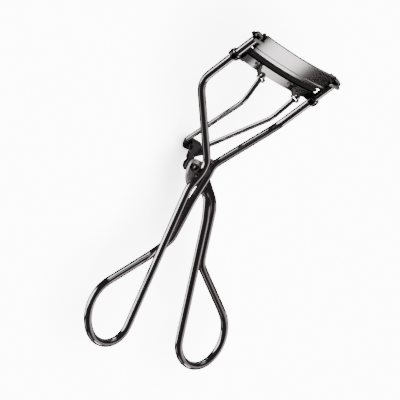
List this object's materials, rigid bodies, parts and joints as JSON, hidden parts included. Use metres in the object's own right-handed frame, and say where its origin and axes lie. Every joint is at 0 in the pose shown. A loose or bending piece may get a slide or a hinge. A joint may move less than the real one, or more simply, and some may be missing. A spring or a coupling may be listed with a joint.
{
  "type": "eyelash curler",
  "caption": "Wire eyelash curler shown open: finger loop frame, pivoted second loop, and a crank, link and push rod that lift a padded jaw along rails to a curved plate.",
  "frame": {"origin": "on the main pivot's axis, at the flat front end of its rivet", "axes": "+Y along the curler from the finger loops towards the head; +X across the head, towards the moving handle's loop; +Z out of the front along the pivot's axis"},
  "size_m": [0.0552, 0.104, 0.032],
  "materials": {
    "steel": "polished dark nickel plating on steel wire and sheet",
    "dark_steel": "dark plated pressed steel",
    "silicone": "matte black silicone"
  },
  "bodies": {
    "frame": {"frame_wire": "steel", "pivot_rivet": "dark_steel", "pivot_washer": "dark_steel", "upper_plate": "steel", "rail_cap_left": "steel", "rail_cap_right": "steel"},
    "handle": {"moving_handle": "steel", "link_rivet": "steel"},
    "link": {"link_bracket": "dark_steel"},
    "jaw": {"lower_jaw": "steel", "lash_pad": "silicone", "jaw_eyelet_left": "dark_steel", "jaw_eyelet_right": "dark_steel"},
    "rod": {"push_rod": "steel", "rod_ball_left": "steel", "rod_ball_right": "steel"}
  },
  "joints": [
    {"name": "handle_hinge", "type": "hinge", "parent": "frame", "child": "handle", "pos_m": [0, 0, -0.0038], "axis": [0, 0, -1], "range_deg": [0, 18]},
    {"name": "link_hinge", "type": "hinge", "parent": "handle", "child": "link", "pos_m": [-0.0045, -0.0008, -0.0046], "axis": [0, 0, -1], "range_deg": [-18, 0]},
    {"name": "jaw_slide", "type": "slide", "parent": "frame", "child": "jaw", "axis": [0, 0.766, 0.6428], "range_m": [0, 0.00104]},
    {"name": "rod_hinge", "type": "hinge", "parent": "jaw", "child": "rod", "pos_m": [0, 0.03153, 0.01233], "axis": [1, 0, 0], "range_deg": [0, 1.5]}
  ],
  "couplings": [
    {"joint": "link_hinge", "follows": "handle_hinge", "ratio": -1},
    {"joint": "jaw_slide", "follows": "handle_hinge", "m_per_rad": 0.00326},
    {"joint": "rod_hinge", "follows": "handle_hinge", "ratio": 0.082}
  ]
}
